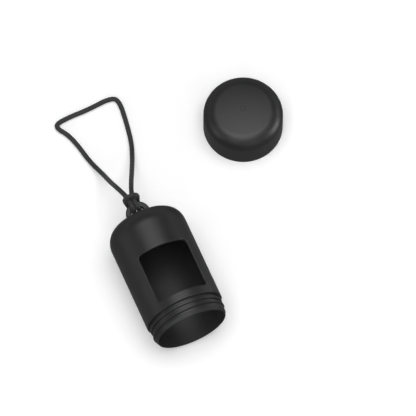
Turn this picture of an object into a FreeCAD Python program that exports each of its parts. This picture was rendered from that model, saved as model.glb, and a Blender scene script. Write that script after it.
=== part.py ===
import FreeCAD, Part
import math
import os

# A bag canister with a screw cap and a wrist lanyard, in millimetres. The canister lies on its side with
# its axis along Y and its mouth towards -Y. The cap stands mouth down beside it, and the lanyard's loop
# lies on the floor beyond the lug. The floor is z = 0, and the canister and cap together are centred on
# the origin. Along the canister, "reach" is the distance from the tip of the dome towards the mouth.

# Canister shell
body_radius = 24.0
bore_radius = 21.2
shell_length = 75.5
shoulder_reach = 64.9
dome_height = 10.7
dome_flat_radius = 14.7
end_wall = 3.0
bore_end_rounding = 8.0
edge_rounding = 0.35

# Neck, its sealing collar and its lip
neck_radius = 22.15
collar_radius = 23.0
collar_start = 66.3
collar_end = 68.2
collar_slope = 0.25
lip_start = 73.4
lip_slope = 0.3
lip_shoulder_radius = 22.6
lip_radius = 21.6
lip_rounding = 0.12
neck_foot_rounding = 0.15
collar_rounding = 0.1
lip_shoulder_rounding = 0.3

# Screw thread, right-handed, with one ridge on the neck and one groove in the cap
thread_pitch = 3.0
thread_crest_radius = 23.15
thread_crest_width = 0.7
thread_root_width = 1.9
thread_sink = 0.3
thread_turns = 1.25
thread_reach = 70.9
groove_turns = 2.4
groove_allowance = 0.2

# Dispensing window in the shell's wall
window_start = 28.0
window_end = 59.6
window_width = 30.4
window_corner = 2.0
window_turn = 3.5
window_rounding = 0.45
window_inner_rounding = 1.7

# Lanyard lug on the dome
lug_centre = 5.0
lug_radius = 7.4
lug_hole_radius = 4.2
lug_thickness = 3.4
lug_root = 4.0
lug_rounding = 0.8
lug_blend = 0.6

# Screw cap
cap_height = 25.6
cap_top_wall = 2.8
cap_top_rounding = 8.8
cap_crown_radius = 130.0
cap_inner_radius = 21.4
cap_inner_rounding = 6.0
cap_seat = 10.9
cap_thread_radius = 22.75
cap_groove_radius = 23.35
cap_skirt_radius = 23.25
cap_skirt_depth = 3.4
cap_skirt_slope = 0.4
cap_edge_rounding = 0.4
cap_inside_rounding = 0.1
cap_seat_rounding = 0.2
gate_dimple_radius = 1.8
gate_dimple_depth = 0.25
gate_dimple_edge = 0.3

# Where the pieces lie
cap_offset_x = 84.4
cap_offset_reach = -42.4
canister_x = -cap_offset_x / 2
cap_x = cap_offset_x / 2
apex_y = (shell_length + cap_offset_reach - body_radius) / 2
cap_y = apex_y - cap_offset_reach
axis_z = body_radius

# Lanyard: a 3 mm cord, drawn a little thinner in its hitch on the lug
cord_diameter = 3.0
hitch_diameter = 2.6
arc_share = 0.45

# How near counts as on a face when picking edges
touch = 1e-3

# Route of the loop: sideways from the canister's axis, out from the dome's tip, and height
loop_route = [
    (-2.0, 14.0, 27.3),
    (-5.0, 23.8, 26.0),
    (-6.1, 32.9, 17.0),
    (-6.8, 44.2, 6.8),
    (-10.0, 56.8, 1.5),
    (-12.4, 69.8, 1.5),
    (-15.5, 78.9, 1.5),
    (-19.8, 83.2, 1.5),
    (-18.4, 87.5, 1.5),
    (-10.8, 88.6, 1.5),
    (2.5, 88.7, 1.5),
    (18.1, 90.5, 1.5),
    (22.1, 86.6, 1.5),
    (20.4, 72.1, 1.5),
    (18.1, 58.3, 1.5),
    (13.6, 46.5, 5.8),
    (9.0, 35.5, 14.7),
    (2.8, 22.6, 26.0),
    (0.7, 14.0, 27.3),
]

# Route of the hitch: from the loop's end over the lug's rim, down its hole, back under the rim, up to the
# crossbar over both legs, and the same way back to the loop's other end
hitch_route = [
    (-2.0, 14.0, 27.3),
    (-1.7, 7.0, 27.3),
    (-1.7, 7.0, 20.7),
    (-4.3, 13.4, 20.7),
    (-4.7, 14.8, 30.2),
    (3.4, 14.8, 30.2),
    (3.1, 13.5, 20.7),
    (1.1, 7.0, 20.7),
    (1.0, 7.0, 27.3),
    (0.7, 14.0, 27.3),
]


def row_point(sideways, out, height):
    """A point given from the canister's axis and dome tip, in the row's frame."""
    return FreeCAD.Vector(canister_x + sideways, apex_y + out, height)


def rounded_outline(corners, place):
    """Edges through corners (along, radius, rounding), each corner rounded by a tangent arc."""
    flat = [FreeCAD.Vector(along, radius, 0) for along, radius, rounding in corners]
    edges = []
    last = place(flat[0])
    for before, corner, after, spec in zip(flat, flat[1:], flat[2:], corners[1:]):
        rounding = spec[2]
        if rounding == 0:
            start = corner
            end = corner
        else:
            back = (before - corner).normalize()
            on = (after - corner).normalize()
            half_angle = back.getAngle(on) / 2
            trim = rounding / math.tan(half_angle)
            start = corner + back * trim
            end = corner + on * trim
            middle = (back + on).normalize()
            centre = corner + middle * (rounding / math.sin(half_angle))
            mid_arc = centre - middle * rounding
        if (place(start) - last).Length > 1e-6:
            edges.append(Part.LineSegment(last, place(start)).toShape())
        if rounding:
            edges.append(Part.Arc(place(start), place(mid_arc), place(end)).toShape())
        last = place(end)
    edges.append(Part.LineSegment(last, place(flat[-1])).toShape())
    return edges


def shell_place(flat):
    """A point (reach, radius) of the shell's half section, above its axis."""
    return row_point(0, -flat.x, axis_z + flat.y)


def cap_place(flat):
    """A point (height, radius) of the cap's half section."""
    return FreeCAD.Vector(cap_x + flat.y, cap_y, flat.x)


def dome_edge():
    """The dome's quarter ellipse, from its flat tip to the straight wall."""
    centre = shell_place(FreeCAD.Vector(dome_height, dome_flat_radius, 0))
    tip = shell_place(FreeCAD.Vector(0, dome_flat_radius, 0))
    side = shell_place(FreeCAD.Vector(dome_height, body_radius, 0))
    return Part.ArcOfEllipse(Part.Ellipse(tip, side, centre), 0, math.pi / 2).toShape()


def shell_body():
    """Dome, straight wall, neck and bore, turned about the canister's axis."""
    outside = [
        (dome_height, body_radius, 0),
        (shoulder_reach, body_radius, edge_rounding),
        (shoulder_reach, neck_radius, neck_foot_rounding),
        (collar_start, neck_radius, 0),
        (collar_start + collar_slope, collar_radius, collar_rounding),
        (collar_end - collar_slope, collar_radius, collar_rounding),
        (collar_end, neck_radius, 0),
        (lip_start - lip_slope, neck_radius, 0),
        (lip_start, lip_shoulder_radius, lip_shoulder_rounding),
        (shell_length, lip_radius, lip_rounding),
        (shell_length, bore_radius, lip_rounding),
        (end_wall, bore_radius, bore_end_rounding),
        (end_wall, 0, 0),
    ]
    axis_point = row_point(0, 0, axis_z)
    tip_edge = shell_place(FreeCAD.Vector(0, dome_flat_radius, 0))
    edges = [Part.LineSegment(axis_point, tip_edge).toShape(), dome_edge()]
    edges += rounded_outline(outside, shell_place)
    inner_end = shell_place(FreeCAD.Vector(end_wall, 0, 0))
    edges.append(Part.LineSegment(inner_end, axis_point).toShape())
    face = Part.Face(Part.Wire(edges))
    return face.revolve(axis_point, FreeCAD.Vector(0, 1, 0), 360)


def helical_bar(inner, outer, inner_width, outer_width, turns):
    """A right-handed bar of trapezoid section wound round Z, its middle at z = 0 and angle 0."""
    height = turns * thread_pitch
    helix = Part.makeHelix(thread_pitch, height, inner)
    section = Part.makePolygon([
        FreeCAD.Vector(inner, 0, -inner_width / 2),
        FreeCAD.Vector(outer, 0, -outer_width / 2),
        FreeCAD.Vector(outer, 0, outer_width / 2),
        FreeCAD.Vector(inner, 0, inner_width / 2),
        FreeCAD.Vector(inner, 0, -inner_width / 2),
    ])
    bar = Part.Wire(helix.Edges).makePipeShell([section], True, True)
    bar = Part.Solid(bar) if bar.ShapeType != "Solid" else bar
    bar.translate(FreeCAD.Vector(0, 0, -height / 2))
    bar.rotate(FreeCAD.Vector(0, 0, 0), FreeCAD.Vector(0, 0, 1), -turns * 180)
    return bar


def neck_thread():
    """The raised thread, sunk a little into the neck."""
    bar = helical_bar(
        neck_radius - thread_sink, thread_crest_radius, thread_root_width, thread_crest_width, thread_turns
    )
    # Z becomes the way out of the mouth (-Y), and the middle of the thread faces up.
    bar.rotate(FreeCAD.Vector(0, 0, 0), FreeCAD.Vector(0, 0, 1), 90)
    bar.rotate(FreeCAD.Vector(0, 0, 0), FreeCAD.Vector(1, 0, 0), 90)
    bar.translate(row_point(0, -thread_reach, axis_z))
    return bar


def window_tool():
    """A block with rounded corners that cuts the window, pointing up and turned about the axis."""
    length = window_end - window_start
    block = Part.makeBox(
        window_width, length, body_radius * 2, row_point(-window_width / 2, -window_end, axis_z)
    )
    uprights = [edge for edge in block.Edges if abs(edge.tangentAt(edge.FirstParameter).z) > 0.9]
    block = block.makeFillet(window_corner, uprights)
    block.rotate(row_point(0, 0, axis_z), FreeCAD.Vector(0, 1, 0), window_turn)
    return block


def distance_to_axis(point):
    """How far a point lies from the canister's axis."""
    return math.hypot(point.x - canister_x, point.z - axis_z)


def window_rim(shell, radius):
    """The edges round the window on the wall's face at this radius."""
    rim = []
    for edge in shell.Edges:
        middle = edge.valueAt((edge.FirstParameter + edge.LastParameter) / 2)
        reach = apex_y - middle.y
        on_wall = abs(distance_to_axis(middle) - radius) < touch
        near = window_start - touch < reach < window_end + touch
        if on_wall and near and middle.z > axis_z:
            rim.append(edge)
    return rim


def lug():
    """The flat ear on the dome, level with the axis, with the round hole that takes the lanyard."""
    bottom = axis_z - lug_thickness / 2
    left = row_point(-lug_radius, lug_centre, bottom)
    right = row_point(lug_radius, lug_centre, bottom)
    root_left = row_point(-lug_radius, -lug_root, bottom)
    root_right = row_point(lug_radius, -lug_root, bottom)
    outline = Part.Wire([
        Part.LineSegment(root_left, left).toShape(),
        Part.Arc(left, row_point(0, lug_centre + lug_radius, bottom), right).toShape(),
        Part.LineSegment(right, root_right).toShape(),
        Part.LineSegment(root_right, root_left).toShape(),
    ])
    ear = Part.Face(outline).extrude(FreeCAD.Vector(0, 0, lug_thickness))
    hole = Part.makeCylinder(lug_hole_radius, lug_thickness, row_point(0, lug_centre, bottom))
    ear = ear.cut(hole)
    rims = []
    for edge in ear.Edges:
        middle = edge.valueAt((edge.FirstParameter + edge.LastParameter) / 2)
        level = abs(abs(middle.z - axis_z) - lug_thickness / 2) < touch
        if level and middle.y > apex_y - lug_root + touch:
            rims.append(edge)
    return ear.makeFillet(lug_rounding, rims)


def lug_joint(shell):
    """The edges where the lug leaves the dome's flat tip."""
    joint = []
    for edge in shell.Edges:
        box = edge.BoundBox
        on_tip = abs(box.YMin - apex_y) < touch and abs(box.YMax - apex_y) < touch
        if on_tip and max(canister_x - box.XMin, box.XMax - canister_x) < lug_radius + touch:
            joint.append(edge)
    return joint


def canister_shell():
    """The canister: turned shell, window, lug and thread."""
    shell = shell_body().cut(window_tool())
    shell = shell.makeFillet(window_rounding, window_rim(shell, body_radius))
    shell = shell.makeFillet(window_inner_rounding, window_rim(shell, bore_radius))
    shell = shell.fuse(lug())
    shell = shell.makeFillet(lug_blend, lug_joint(shell))
    return shell.fuse(neck_thread())


def cap_top():
    """Edges of the cap's top from its axis to its wall, the wall's top, and the gate dimple's floor."""
    crown_centre = FreeCAD.Vector(cap_height - cap_crown_radius, 0, 0)
    reach = cap_crown_radius - cap_top_rounding
    crown_end = math.asin((body_radius - cap_top_rounding) / reach)
    crown_start = math.asin(gate_dimple_radius / cap_crown_radius)
    rounding_centre = crown_centre + turned(reach, crown_end)
    dimple_floor = cap_height - gate_dimple_depth

    def arc(centre, radius, start, end):
        angles = (start, (start + end) / 2, end)
        return Part.Arc(*[cap_place(centre + turned(radius, angle)) for angle in angles]).toShape()

    crown = arc(crown_centre, cap_crown_radius, crown_start, crown_end)
    rounding = arc(rounding_centre, cap_top_rounding, crown_end, math.pi / 2)
    middle = cap_place(FreeCAD.Vector(dimple_floor, 0, 0))
    floor_end = cap_place(FreeCAD.Vector(dimple_floor, gate_dimple_radius - gate_dimple_edge, 0))
    floor = Part.LineSegment(middle, floor_end).toShape()
    side = Part.LineSegment(floor_end, crown.Vertexes[0].Point).toShape()
    return [floor, side, crown, rounding], rounding_centre.x, dimple_floor


def turned(length, angle):
    """A step (height, radius) of this length, turned from straight up towards the wall."""
    return FreeCAD.Vector(length * math.cos(angle), length * math.sin(angle), 0)


def screw_cap():
    """A domed cap, mouth down, with a seat for the neck's lip, a thread groove and a wider skirt."""
    ceiling = cap_height - cap_top_wall
    top_edges, wall_top, dimple_floor = cap_top()
    section = [
        (wall_top, body_radius, 0),
        (0, body_radius, cap_edge_rounding),
        (0, cap_skirt_radius, cap_inside_rounding),
        (cap_skirt_depth, cap_skirt_radius, cap_inside_rounding),
        (cap_skirt_depth + cap_skirt_slope, cap_thread_radius, 0),
        (cap_seat, cap_thread_radius, cap_inside_rounding),
        (cap_seat, cap_inner_radius, cap_seat_rounding),
        (ceiling, cap_inner_radius, cap_inner_rounding),
        (ceiling, 0, 0),
        (dimple_floor, 0, 0),
    ]
    face = Part.Face(Part.Wire(top_edges + rounded_outline(section, cap_place)))
    centre = FreeCAD.Vector(cap_x, cap_y, 0)
    cap = face.revolve(centre, FreeCAD.Vector(0, 0, 1), 360)
    groove = helical_bar(
        cap_thread_radius - thread_sink,
        cap_groove_radius,
        thread_root_width + 2 * groove_allowance,
        thread_crest_width + 2 * groove_allowance,
        groove_turns,
    )
    # Screwed home, the skirt's end stands on the neck's shoulder.
    groove.translate(FreeCAD.Vector(cap_x, cap_y, thread_reach - shoulder_reach))
    return cap.cut(groove)


def cord_tube(route, diameter, name):
    """A round tube along straight runs joined by arcs that touch them."""
    points = [row_point(*point) for point in route]
    edges = []
    radii = []
    last = points[0]
    for before, corner, after in zip(points, points[1:], points[2:]):
        back = before - corner
        on = after - corner
        half_turn = (math.pi - back.getAngle(on)) / 2
        trim = arc_share * min(back.Length, on.Length)
        radius = trim / math.tan(half_turn)
        radii.append(radius)
        back.normalize()
        on.normalize()
        start = corner + back * trim
        end = corner + on * trim
        middle = (back + on).normalize()
        mid_arc = corner + middle * (radius / math.cos(half_turn) - radius)
        edges.append(Part.LineSegment(last, start).toShape())
        edges.append(Part.Arc(start, mid_arc, end).toShape())
        last = end
    edges.append(Part.LineSegment(last, points[-1]).toShape())
    path = Part.Wire(edges)
    heading = points[1] - points[0]
    section = Part.Wire(Part.makeCircle(diameter / 2, points[0], heading))
    tube = path.makePipeShell([section], True, False)
    tube = Part.Solid(tube) if tube.ShapeType != "Solid" else tube
    share = tube.Volume / (math.pi * diameter ** 2 / 4 * path.Length)
    print(name, "length %.1f mm, volume over section x length %.4f" % (path.Length, share))
    print(name, "radii", " ".join("%.1f" % radius for radius in radii))
    return tube


nodes = {
    "canister_shell": canister_shell(),
    "screw_cap": screw_cap(),
    "lanyard_cord": cord_tube(loop_route, cord_diameter, "lanyard_cord"),
    "lanyard_hitch": cord_tube(hitch_route, hitch_diameter, "lanyard_hitch"),
}

os.makedirs("parts", exist_ok=True)
for name, shape in nodes.items():
    shape.exportStep("parts/" + name + ".step")
    print(name, shape.ShapeType, len(shape.Solids), "valid", shape.isValid(), "volume %.1f" % shape.Volume)
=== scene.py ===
import bpy
import math
import numpy as np
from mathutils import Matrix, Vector


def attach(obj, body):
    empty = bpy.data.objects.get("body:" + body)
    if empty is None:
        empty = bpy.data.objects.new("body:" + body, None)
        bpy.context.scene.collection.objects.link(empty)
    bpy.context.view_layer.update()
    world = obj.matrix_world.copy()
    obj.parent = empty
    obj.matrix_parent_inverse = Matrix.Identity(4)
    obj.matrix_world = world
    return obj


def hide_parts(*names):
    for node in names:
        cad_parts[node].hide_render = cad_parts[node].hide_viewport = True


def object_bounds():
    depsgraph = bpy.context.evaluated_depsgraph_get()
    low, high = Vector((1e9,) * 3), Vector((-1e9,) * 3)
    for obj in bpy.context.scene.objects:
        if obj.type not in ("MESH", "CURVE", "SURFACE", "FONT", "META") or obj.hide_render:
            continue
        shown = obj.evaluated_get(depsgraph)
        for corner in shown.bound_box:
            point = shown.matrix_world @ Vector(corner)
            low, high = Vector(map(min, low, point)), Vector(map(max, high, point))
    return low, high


# A matte black bag canister on its side, its loose screw cap, and its braided wrist lanyard.
# Everything is in metres, in the row's frame: the floor is z = 0 and the canister lies along Y.

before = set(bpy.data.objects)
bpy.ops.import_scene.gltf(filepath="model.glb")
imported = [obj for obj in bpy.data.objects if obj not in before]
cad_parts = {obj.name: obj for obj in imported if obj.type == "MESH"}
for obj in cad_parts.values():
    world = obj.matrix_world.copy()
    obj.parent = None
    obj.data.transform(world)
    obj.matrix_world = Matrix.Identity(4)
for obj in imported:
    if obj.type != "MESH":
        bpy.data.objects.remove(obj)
cad_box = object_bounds()

MM = 0.001

# Camera: where it stands round the object, and how wide a stretch it sees there
CAMERA_AZIMUTH = -23.39
CAMERA_ELEVATION = 66.87
CAMERA_DISTANCE = 3.25
CAMERA_AIM = (-2.7 * MM, -16.27 * MM, 0)   # from the middle of the whole object's box
VIEW_WIDTH = 247.5 * MM
SENSOR_WIDTH = 36.0
CLIP_NEAR = CAMERA_DISTANCE / 100
CLIP_FAR = CAMERA_DISTANCE * 10

# Where the canister is, in mm
CANISTER_X = -42.2
DOME_TIP_Y = 4.55

# Lanyard: one braided cord. Its route's points are sideways from the canister's axis, out from the dome's tip,
# and height, in mm. The cord starts and ends in the middle of the hitch's crossbar, so its two ends join there.
CORD_DIAMETER = 3.0 * MM
HITCH_OUT = [
    (-0.8, 14.8, 30.2),
    (3.8, 14.8, 30.2),
    (3.0, 13.8, 20.4),
    (2.1, 6.3, 20.2),
    (0.95, 7.1, 27.3),
]
LOOP_ROUTE = [
    (0.2, 15.0, 27.3),
    (2.8, 22.6, 26.0),
    (8.8, 35.7, 15.0),
    (13.6, 46.5, 5.8),
    (18.1, 58.3, 1.5),
    (20.4, 72.1, 1.5),
    (22.1, 86.6, 1.5),
    (18.1, 90.5, 1.5),
    (2.5, 88.7, 1.5),
    (-10.8, 88.6, 1.5),
    (-19.2, 87.4, 1.5),
    (-19.0, 83.6, 1.5),
    (-15.5, 78.9, 1.5),
    (-12.4, 69.8, 1.5),
    (-10.0, 56.8, 1.5),
    (-6.8, 44.2, 6.8),
    (-6.1, 32.9, 17.0),
    (-5.0, 23.8, 26.0),
    (-2.2, 15.0, 27.3),
]
HITCH_BACK = [
    (-1.85, 7.0, 27.3),
    (-1.5, 6.7, 20.4),
    (-3.2, 13.7, 20.4),
    (-5.4, 14.8, 30.2),
    (-0.8, 14.8, 30.2),
]

# Braid: as many strands wound each way, over two and under two
STRANDS = 8
STRANDS_PER_REPEAT = 4                    # strands that one crosses before over two, under two repeats
STEPS = 6                                 # mesh steps across one strand
BRAID_LAY = 15.0 * MM                     # how far along the cord a strand goes in a full turn
STRAND_HEIGHT = 0.10                      # share of the cord's radius, from a strand's edge to its crown
STRAND_LIFT = 0.06                        # share of the cord's radius that a strand rises over another
SPLINE_RESOLUTION = 48
STRAND_UV = "strands"

# Plastic: noise scales are per metre, and bump heights in metres
PLASTIC_COLOUR = (0.014, 0.014, 0.0145)
PLASTIC_ROUGHNESS = 0.39
PLASTIC_SHINE = 0.47
MOTTLE_SCALE = 55
MOTTLE_DETAIL = 5
MOTTLE_TONES = (0.9, 1.1)                 # shares of the colour
MOTTLE_RANGE = (0.3, 0.7)                 # noise values that get those tones
MOTTLE_GLOSS = 0.04                       # change of roughness, each way
GRAIN_SCALE = 3500
GRAIN_DETAIL = 2
GRAIN_STRENGTH = 0.25
GRAIN_HEIGHT = 0.02 * MM
BORE_PAINTED_FILL_COLOUR = (0.020, 0.020, 0.0206)      # painted light: the bore is paler than the outside, a painted fill; it is also left coarser by the mould's core
BORE_ROUGHNESS = 0.54
BORE_RADIUS = 21.4 * MM                   # its painted fill and coarser finish reach a little past its wall, and stop at the dome
BORE_END_Y = 1.5 * MM
AXIS_Z = 24 * MM

# Cord: fibres along the strands, with one unit of u across a strand and one of v per strand crossed
CORD_COLOUR = (0.019, 0.019, 0.0197)
CORD_ROUGHNESS = 0.6
CORD_SHEEN = 0.25
CORD_SHEEN_ROUGHNESS = 0.4
FIBRE_STRETCH = (7, 0.7, 1)
FIBRE_DETAIL = 3
FIBRE_TONES = (0.6, 1.5)
FIBRE_RANGE = (0.3, 0.75)
FIBRE_STRENGTH = 0.6
FIBRE_HEIGHT = 0.06 * MM

# Studio: a sky bright only overhead, softboxes round the front, small lamps overhead, a low lamp, a pale table
SKY_BANDS = [(-1.0, 0.17), (0.0, 0.38), (0.5, 0.0), (0.85, 1.8)]     # from this height up, this radiance
SOFTBOXES = [                                                        # azimuth, elevation, width, radiance
    (90, 12, 0.64, 1.4),
    (45, 12, 0.64, 1.8),
    (0, 12, 0.64, 1.3),
    (-45, 12, 0.64, 3.0),
    (-90, 12, 0.64, 2.8),
    (45, 40, 0.78, 0.8),
    (0, 40, 0.78, 1.3),
    (-45, 40, 0.78, 1.9),
    (-90, 40, 0.78, 0.7),
    (0, 62, 0.78, 0.9),
    (-45, 62, 0.78, 0.6),
]
SOFTBOX_DISTANCE = 2.0
OVERHEAD = [                                                         # x, y, radiance
    (-0.2, 0, 2.3),
    (0, 0, 2.0),
    (0.2, 0, 1.8),
    (-0.2, -0.2, 1.1),
    (0, -0.2, 0.5),
]
OVERHEAD_HEIGHT = 0.60
OVERHEAD_SIZE = 0.20
RIM_LAMP = (0.186, -0.043, 0.024)          # low and close on the cap's front right
RIM_LAMP_AIM = (0.042, 0.047, 0.013)
RIM_LAMP_SIZE = 0.08
RIM_LAMP_RADIANCE = 4.3
FLOOR_COLOUR = (0.93, 0.93, 0.93, 1)
FLOOR_GLOW = 0.16                          # the table is lit faintly from below, which thins the shadows
FLOOR_SIZE = 6.0


def direction(azimuth, elevation):
    """The way from the object to something that stands round it: azimuth from -Y towards +X, in degrees."""
    turn = math.radians(azimuth)
    lift = math.radians(elevation)
    return Vector((math.sin(turn) * math.cos(lift), -math.cos(turn) * math.cos(lift), math.sin(lift)))


def add_camera():
    """A long lens far away, looking down at the object from in front and to the left."""
    low, high = cad_box
    aim = (low + high) / 2 + Vector(CAMERA_AIM)
    back = direction(CAMERA_AZIMUTH, CAMERA_ELEVATION)
    data = bpy.data.cameras.new("camera")
    data.sensor_width = SENSOR_WIDTH
    data.lens = SENSOR_WIDTH * CAMERA_DISTANCE / VIEW_WIDTH
    data.clip_start = CLIP_NEAR
    data.clip_end = CLIP_FAR
    camera = bpy.data.objects.new("camera", data)
    camera.location = aim + back * CAMERA_DISTANCE
    camera.rotation_mode = "QUATERNION"
    camera.rotation_quaternion = (-back).to_track_quat("-Z", "Y")
    bpy.context.scene.collection.objects.link(camera)
    bpy.context.scene.camera = camera


def row_point(sideways, out, height):
    """A point given in mm from the canister's axis and dome tip, in the row's frame in metres."""
    return Vector((CANISTER_X + sideways, DOME_TIP_Y + out, height)) * MM


def spline_points(points):
    """Points along a smooth NURBS spline that has these control points."""
    data = bpy.data.curves.new("lanyard_line", "CURVE")
    data.dimensions = "3D"
    data.resolution_u = SPLINE_RESOLUTION
    spline = data.splines.new("NURBS")
    spline.points.add(len(points) - 1)
    for point, place in zip(spline.points, points):
        point.co = (*place, 1)
    spline.order_u = 3
    spline.use_endpoint_u = True
    line = bpy.data.objects.new("lanyard_line", data)
    bpy.context.scene.collection.objects.link(line)
    mesh = bpy.data.meshes.new_from_object(line)
    found = np.array([vertex.co[:] for vertex in mesh.vertices])
    bpy.data.objects.remove(line)
    bpy.data.meshes.remove(mesh)
    return found


def evenly_along(points, spacing, period):
    """The same line in even steps of about this spacing, a whole number of periods of them, and its length."""
    lengths = np.linalg.norm(np.diff(points, axis=0), axis=1)
    along = np.concatenate([[0], np.cumsum(lengths)])
    steps = round(along[-1] / spacing / period) * period
    stations = np.linspace(0, along[-1], steps + 1)
    even = np.column_stack([np.interp(stations, along, points[:, k]) for k in range(3)])
    return even, along[-1]


def frames_along(line):
    """Two sideways directions at each point, carried along with no twist of their own."""
    tangents = np.gradient(line, axis=0)
    tangents /= np.linalg.norm(tangents, axis=1)[:, None]
    first = Vector(tangents[0]).orthogonal().normalized()
    sides = [first]
    for before, after in zip(tangents[:-1], tangents[1:]):
        turn = Vector(before).rotation_difference(Vector(after))
        side = turn @ sides[-1]
        side -= Vector(after) * side.dot(Vector(after))
        sides.append(side.normalized())
    sides = np.array([side[:] for side in sides])
    return sides, np.cross(tangents, sides)


def strand_heights(a, b):
    """Height of the braid's surface, as a share of the radius, where a and b count the strands each way."""
    def crown(across):
        offset = 2 * (across % 1) - 1
        return STRAND_HEIGHT * np.sqrt(1 - offset ** 2)

    first = crown(a) + STRAND_LIFT * np.cos(math.pi / 2 * (b - np.floor(a) - 1))
    second = crown(b) - STRAND_LIFT * np.cos(math.pi / 2 * (a - np.floor(b)))
    return np.maximum(first, second) - STRAND_HEIGHT - STRAND_LIFT


def braided_cord():
    """The lanyard as one closed mesh of small rhombs, whose edges run along the strands both ways.

    A vertex has a ring along the cord and a column round it. A strand wound one way keeps its column,
    and one wound the other way keeps the sum of ring and column. The last ring is joined to the first.
    """
    around = STRANDS * STEPS
    route = [row_point(*point) for point in HITCH_OUT + LOOP_ROUTE + HITCH_BACK]
    line, length = evenly_along(spline_points(route), BRAID_LAY / (2 * around), STRANDS_PER_REPEAT * STEPS)
    sides, ups = frames_along(line)
    rings = len(line) - 1

    # The frame comes back turned, so the cord is twisted a little more, to a whole number of strands
    closing = math.atan2(sides[-1] @ ups[0], sides[-1] @ sides[0])
    strand_turn = 2 * math.pi / STRANDS
    strands_turned = round(closing / strand_turn)
    turn = strands_turned * strand_turn - closing
    shift = rings // 2 + strands_turned * STEPS

    ring = np.arange(rings)[:, None]
    column = np.arange(around)[None, :]
    angle = 2 * math.pi * (column + ring / 2) / around + turn * ring / rings
    height = strand_heights(column / STEPS, (column + ring) / STEPS)
    reach = CORD_DIAMETER / 2 * (1 + height)
    outward = np.cos(angle)[..., None] * sides[:-1, None] + np.sin(angle)[..., None] * ups[:-1, None]
    points = line[:-1, None] + reach[..., None] * outward

    def vertex(ring, column):
        return ring % rings * around + (column + ring // rings * shift) % around

    quads = np.stack([
        vertex(ring, column),
        vertex(ring - 1, column + 1),
        vertex(ring, column + 1),
        vertex(ring + 1, column),
    ], axis=-1).reshape(-1, 4)
    mesh = bpy.data.meshes.new("lanyard_braid")
    mesh.from_pydata(points.reshape(-1, 3).tolist(), [], quads.tolist())
    mesh.shade_smooth()
    add_strand_uv(mesh, np.broadcast_to(column, (rings, around)), column + ring)
    cord = bpy.data.objects.new("lanyard_braid", mesh)
    bpy.context.scene.collection.objects.link(cord)
    return cord, line, length


def add_strand_uv(mesh, first, second):
    """UVs for the fibres: u runs across the strand that is on top, and v along it."""
    first = first.reshape(-1, 1) + np.array([0, 1, 1, 0])
    second = second.reshape(-1, 1) + np.array([0, 0, 1, 1])
    strand_a = first[:, :1] // STEPS
    strand_b = second[:, :1] // STEPS
    a_on_top = (strand_b - strand_a) % STRANDS_PER_REPEAT < 2
    # Each strand each way has its own part of the fibres' noise
    across_a = first / STEPS + strand_a % STRANDS
    across_b = second / STEPS + strand_b % STRANDS + 2 * STRANDS
    u = np.where(a_on_top, across_a, across_b)
    v = np.where(a_on_top, second, first) / STEPS
    layer = mesh.uv_layers.new(name=STRAND_UV)
    layer.data.foreach_set("uv", np.stack([u, v], axis=-1).astype(np.float32).ravel())


def new_material(name):
    """A node material, its nodes and links, and its Principled shader."""
    material = bpy.data.materials.new(name)
    material.use_nodes = True
    nodes = material.node_tree.nodes
    return material, nodes, material.node_tree.links, nodes["Principled BSDF"]


def add_noise(nodes, links, place, scale, detail):
    """A noise texture at a place."""
    noise = nodes.new("ShaderNodeTexNoise")
    noise.inputs["Scale"].default_value = scale
    noise.inputs["Detail"].default_value = detail
    links.new(place, noise.inputs["Vector"])
    return noise


def add_tones(nodes, links, shader, noise, colour, tones, noise_range):
    """Base colour from a dark to a light tone of the colour, over a range of the noise's values."""
    ramp = nodes.new("ShaderNodeValToRGB")
    for element, tone, value in zip(ramp.color_ramp.elements, tones, noise_range):
        element.position = value
        element.color = tuple(c * tone for c in colour) + (1,)
    links.new(noise.outputs["Fac"], ramp.inputs["Fac"])
    links.new(ramp.outputs["Color"], shader.inputs["Base Color"])


def add_bump(nodes, links, shader, noise, strength, height):
    """Bump from the noise."""
    bump = nodes.new("ShaderNodeBump")
    bump.inputs["Strength"].default_value = strength
    bump.inputs["Distance"].default_value = height
    links.new(noise.outputs["Fac"], bump.inputs["Height"])
    links.new(bump.outputs["Normal"], shader.inputs["Normal"])


def add_maths(nodes, links, kind, operation, value, operand):
    """The result of a maths node on a value and a constant."""
    step = nodes.new(kind)
    step.operation = operation
    links.new(value, step.inputs[0])
    step.inputs[1].default_value = operand
    return step.outputs[0]


def bore_mask(nodes, links, place):
    """1 inside the canister's bore and 0 elsewhere."""
    from_axis = add_maths(nodes, links, "ShaderNodeVectorMath", "SUBTRACT", place, (CANISTER_X * MM, 0, AXIS_Z))
    across = add_maths(nodes, links, "ShaderNodeVectorMath", "MULTIPLY", from_axis, (1, 0, 1))
    reach = nodes.new("ShaderNodeVectorMath")
    reach.operation = "LENGTH"
    links.new(across, reach.inputs[0])
    split = nodes.new("ShaderNodeSeparateXYZ")
    links.new(place, split.inputs["Vector"])
    within = add_maths(nodes, links, "ShaderNodeMath", "LESS_THAN", reach.outputs["Value"], BORE_RADIUS)
    short = add_maths(nodes, links, "ShaderNodeMath", "LESS_THAN", split.outputs["Y"], BORE_END_Y)
    both = nodes.new("ShaderNodeMath")
    both.operation = "MULTIPLY"
    links.new(within, both.inputs[0])
    links.new(short, both.inputs[1])
    return both.outputs[0]


def change_inside(nodes, links, mask, socket, kind, inside):
    """Gives a linked shader input another value where the mask is 1."""
    outside = socket.links[0].from_socket
    mix = nodes.new("ShaderNodeMix")
    mix.data_type = kind
    links.new(mask, mix.inputs["Factor"])
    links.new(outside, mix.inputs["A"])
    mix.inputs["B"].default_value = inside
    links.new(mix.outputs["Result"], socket)


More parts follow.
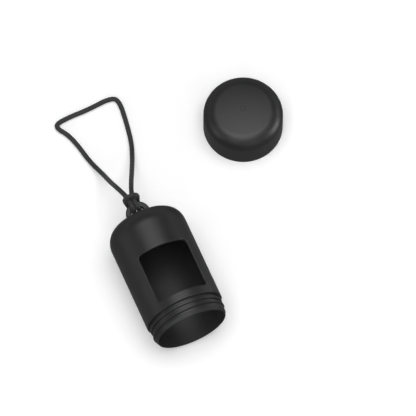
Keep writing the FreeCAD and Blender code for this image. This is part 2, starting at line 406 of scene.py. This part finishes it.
def add_bore_painted_fill_and_roughness(material):
    """Paints light into the canister's bore: the plastic is paler there, a painted fill, and also coarser."""
    nodes = material.node_tree.nodes
    links = material.node_tree.links
    shader = nodes["Principled BSDF"]
    place = nodes.new("ShaderNodeTexCoord")
    mask = bore_mask(nodes, links, place.outputs["Object"])
    # painted fill light: a paler base colour inside the bore
    change_inside(nodes, links, mask, shader.inputs["Base Color"], "RGBA", BORE_PAINTED_FILL_COLOUR + (1,))
    change_inside(nodes, links, mask, shader.inputs["Roughness"], "FLOAT", BORE_ROUGHNESS)


def plastic(name, seed):
    """Matte moulded plastic: a fine even grain, and faint broad changes of tone and gloss."""
    material, nodes, links, shader = new_material(name)
    place = nodes.new("ShaderNodeTexCoord").outputs["Object"]
    mottle = add_noise(nodes, links, place, MOTTLE_SCALE, MOTTLE_DETAIL)
    mottle.noise_dimensions = "4D"
    mottle.inputs["W"].default_value = seed
    add_tones(nodes, links, shader, mottle, PLASTIC_COLOUR, MOTTLE_TONES, MOTTLE_RANGE)
    gloss = nodes.new("ShaderNodeMapRange")
    gloss.inputs["To Min"].default_value = PLASTIC_ROUGHNESS - MOTTLE_GLOSS
    gloss.inputs["To Max"].default_value = PLASTIC_ROUGHNESS + MOTTLE_GLOSS
    links.new(mottle.outputs["Fac"], gloss.inputs["Value"])
    links.new(gloss.outputs["Result"], shader.inputs["Roughness"])
    shader.inputs["Specular IOR Level"].default_value = PLASTIC_SHINE
    grain = add_noise(nodes, links, place, GRAIN_SCALE, GRAIN_DETAIL)
    add_bump(nodes, links, shader, grain, GRAIN_STRENGTH, GRAIN_HEIGHT)
    return material


def braid(name):
    """Black polyester: fine fibres along each strand, and a soft sheen."""
    material, nodes, links, shader = new_material(name)
    strands = nodes.new("ShaderNodeUVMap")
    strands.uv_map = STRAND_UV
    stretch = nodes.new("ShaderNodeMapping")
    stretch.inputs["Scale"].default_value = FIBRE_STRETCH
    links.new(strands.outputs["UV"], stretch.inputs["Vector"])
    fibres = add_noise(nodes, links, stretch.outputs["Vector"], 1, FIBRE_DETAIL)
    add_tones(nodes, links, shader, fibres, CORD_COLOUR, FIBRE_TONES, FIBRE_RANGE)
    add_bump(nodes, links, shader, fibres, FIBRE_STRENGTH, FIBRE_HEIGHT)
    shader.inputs["Roughness"].default_value = CORD_ROUGHNESS
    shader.inputs["Sheen Weight"].default_value = CORD_SHEEN
    shader.inputs["Sheen Roughness"].default_value = CORD_SHEEN_ROUGHNESS
    return material


def paint(node, material):
    """Gives a CAD node its material."""
    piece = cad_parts[node]
    for slot in piece.material_slots:
        slot.material = material


def add_lanyard():
    """The whole lanyard as one cord, in place of both its CAD tubes."""
    cord, line, length = braided_cord()
    cord.data.materials.append(braid("cord_polyester_braid"))
    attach(cord, "lanyard")
    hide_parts("lanyard_cord", "lanyard_hitch")
    print("lanyard length %.4f m" % length)


def add_floor():
    """A plain pale table, unseen in reflections."""
    mesh = bpy.data.meshes.new("floor")
    half = FLOOR_SIZE / 2
    corners = [(-half, -half, 0), (half, -half, 0), (half, half, 0), (-half, half, 0)]
    mesh.from_pydata(corners, [], [(0, 1, 2, 3)])
    floor = bpy.data.objects.new("floor", mesh)
    bpy.context.scene.collection.objects.link(floor)
    material, _, _, shader = new_material("floor_acrylic")
    shader.inputs["Base Color"].default_value = FLOOR_COLOUR
    shader.inputs["Emission Color"].default_value = (1, 1, 1, 1)
    shader.inputs["Emission Strength"].default_value = FLOOR_GLOW
    shader.inputs["Roughness"].default_value = 1
    shader.inputs["Specular IOR Level"].default_value = 0
    mesh.materials.append(material)
    floor.visible_glossy = False


def add_lamp(name, place, aim, size, radiance):
    """A round soft lamp of even radiance, which is its power over pi and its area, that faces the aim."""
    data = bpy.data.lights.new(name, "AREA")
    data.shape = "DISK"
    data.size = size
    area = math.pi * (size / 2) ** 2
    data.energy = radiance * math.pi * area
    lamp = bpy.data.objects.new(name, data)
    lamp.location = place
    lamp.rotation_mode = "QUATERNION"
    lamp.rotation_quaternion = (aim - place).to_track_quat("-Z", "Y")
    lamp.visible_camera = False
    bpy.context.scene.collection.objects.link(lamp)


def add_lamps():
    """Softboxes that stand round the object and face it, small ones overhead that face down, and a low one."""
    for azimuth, elevation, size, radiance in SOFTBOXES:
        place = direction(azimuth, elevation) * SOFTBOX_DISTANCE
        add_lamp("softbox", place, Vector(), size, radiance)
    for x, y, radiance in OVERHEAD:
        add_lamp("overhead", Vector((x, y, OVERHEAD_HEIGHT)), Vector((x, y, 0)), OVERHEAD_SIZE, radiance)
    add_lamp("rim", Vector(RIM_LAMP), Vector(RIM_LAMP_AIM), RIM_LAMP_SIZE, RIM_LAMP_RADIANCE)


def add_sky():
    """A grey sky in bands of height, the band overhead the brightest."""
    world = bpy.data.worlds.new("studio")
    world.use_nodes = True
    nodes = world.node_tree.nodes
    links = world.node_tree.links
    place = nodes.new("ShaderNodeTexCoord")
    split = nodes.new("ShaderNodeSeparateXYZ")
    links.new(place.outputs["Generated"], split.inputs["Vector"])
    height = nodes.new("ShaderNodeMapRange")
    height.inputs["From Min"].default_value = -1
    links.new(split.outputs["Z"], height.inputs["Value"])
    bands = nodes.new("ShaderNodeValToRGB")
    ramp = bands.color_ramp
    ramp.interpolation = "CONSTANT"
    brightest = max(radiance for start, radiance in SKY_BANDS)
    while len(ramp.elements) < len(SKY_BANDS):
        ramp.elements.new(1)              # moved below
    for element, (start, radiance) in zip(ramp.elements, SKY_BANDS):
        element.position = (start + 1) / 2
        element.color = (radiance / brightest,) * 3 + (1,)
    links.new(height.outputs["Result"], bands.inputs["Fac"])
    sky = nodes["Background"]
    links.new(bands.outputs["Color"], sky.inputs["Color"])
    sky.inputs["Strength"].default_value = brightest
    bpy.context.scene.world = world
    bpy.context.scene.view_settings.view_transform = "Standard"


add_camera()
add_lanyard()
shell_plastic = plastic("shell_plastic_matte", seed=1.0)
# the bore gets a painted fill of paler colour, and a rougher finish
add_bore_painted_fill_and_roughness(shell_plastic)
paint("canister_shell", shell_plastic)
paint("screw_cap", plastic("cap_plastic_matte", seed=2.0))
add_floor()
add_sky()
add_lamps()
